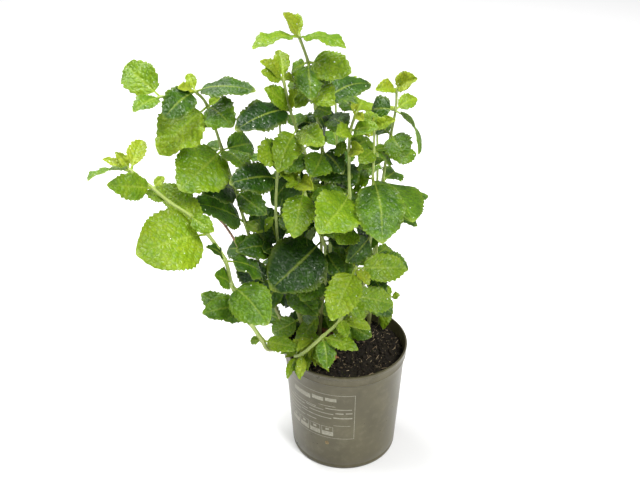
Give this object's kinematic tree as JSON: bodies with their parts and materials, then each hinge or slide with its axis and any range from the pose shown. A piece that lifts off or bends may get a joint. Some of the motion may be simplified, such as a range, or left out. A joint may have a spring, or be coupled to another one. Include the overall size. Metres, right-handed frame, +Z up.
{
  "type": "potted mint plant",
  "caption": "Bushy mint plant with branching square stems and toothed, quilted leaves, rooted in dark peat in a round tapered plastic nursery pot with a rolled rim and drain holes.",
  "frame": {"origin": "centre of the pot's flat underside, which the pot stands on", "axes": "+Z up; -Y is the front, which the camera looks at from above; +X is to the right seen from the front"},
  "size_m": [0.2813, 0.2189, 0.4434],
  "materials": {
    "pot_plastic": "satin taupe grey-olive plastic with a printed light line panel",
    "peat": null,
    "stem": null,
    "leaf_young": "bright yellow-green young mint leaf, quilted and satin",
    "leaf_grown": "mid green mint leaf, quilted and satin",
    "leaf_dark": "dark blue-green old mint leaf, quilted and slightly glossy"
  },
  "bodies": {
    "root": {"leaf_arching_10": "leaf_dark", "leaf_arching_12": "leaf_grown", "leaf_arching_13": "leaf_grown", "leaf_arching_2": "leaf_grown", "leaf_arching_5": "leaf_grown", "leaf_arching_7": "leaf_grown", "leaf_arching_8": "leaf_grown", "leaf_back_left_3": "leaf_dark", "leaf_back_left_4": "leaf_dark", "leaf_back_middle_3": "leaf_dark", "leaf_back_middle_4": "leaf_dark", "leaf_central_6": "leaf_grown", "leaf_central_8": "leaf_dark", "leaf_diagonal_1": "leaf_young", "leaf_diagonal_2": "leaf_young", "leaf_left_middle_1": "leaf_dark", "leaf_left_middle_2": "leaf_dark", "leaf_left_middle_5": "leaf_dark", "leaf_right_4": "leaf_grown", "leaf_right_8": "leaf_grown", "leaf_right_9": "leaf_grown", "leaf_right_front_5": "leaf_grown", "leaf_second_tip_10": "leaf_dark", "leaf_second_tip_7": "leaf_dark", "leaf_second_tip_8": "leaf_grown", "leaf_second_tip_9": "leaf_grown", "leaf_side_branch_1": "leaf_grown", "leaf_top_13": "leaf_dark", "leaf_top_14": "leaf_dark", "leaf_top_15": "leaf_dark", "leaf_top_16": "leaf_dark", "leaf_top_3": "leaf_grown", "leaf_top_4": "leaf_grown", "leaf_top_9": "leaf_dark", "leaf_upper_left_1": "leaf_dark", "leaf_upper_left_13": "leaf_dark", "leaf_upper_left_16": "leaf_dark", "leaf_upper_left_20": "leaf_grown", "leaf_upper_left_7": "leaf_young", "leaf_upper_left_8": "leaf_grown", "leaf_upper_left_9": "leaf_dark", "leaf_upright_7": "leaf_grown", "pot": "pot_plastic", "potting_soil": "peat", "stem_arching": "stem", "stem_back_left": "stem", "stem_back_middle": "stem", "stem_back_right": "stem", "stem_central": "stem", "stem_diagonal": "stem", "stem_front_sprout": "stem", "stem_left_middle": "stem", "stem_right": "stem", "stem_right_front": "stem", "stem_second_tip": "stem", "stem_seedling": "stem", "stem_side_branch": "stem", "stem_top": "stem", "stem_upper_left": "stem", "stem_upright": "stem"}
  },
  "joints": []
}
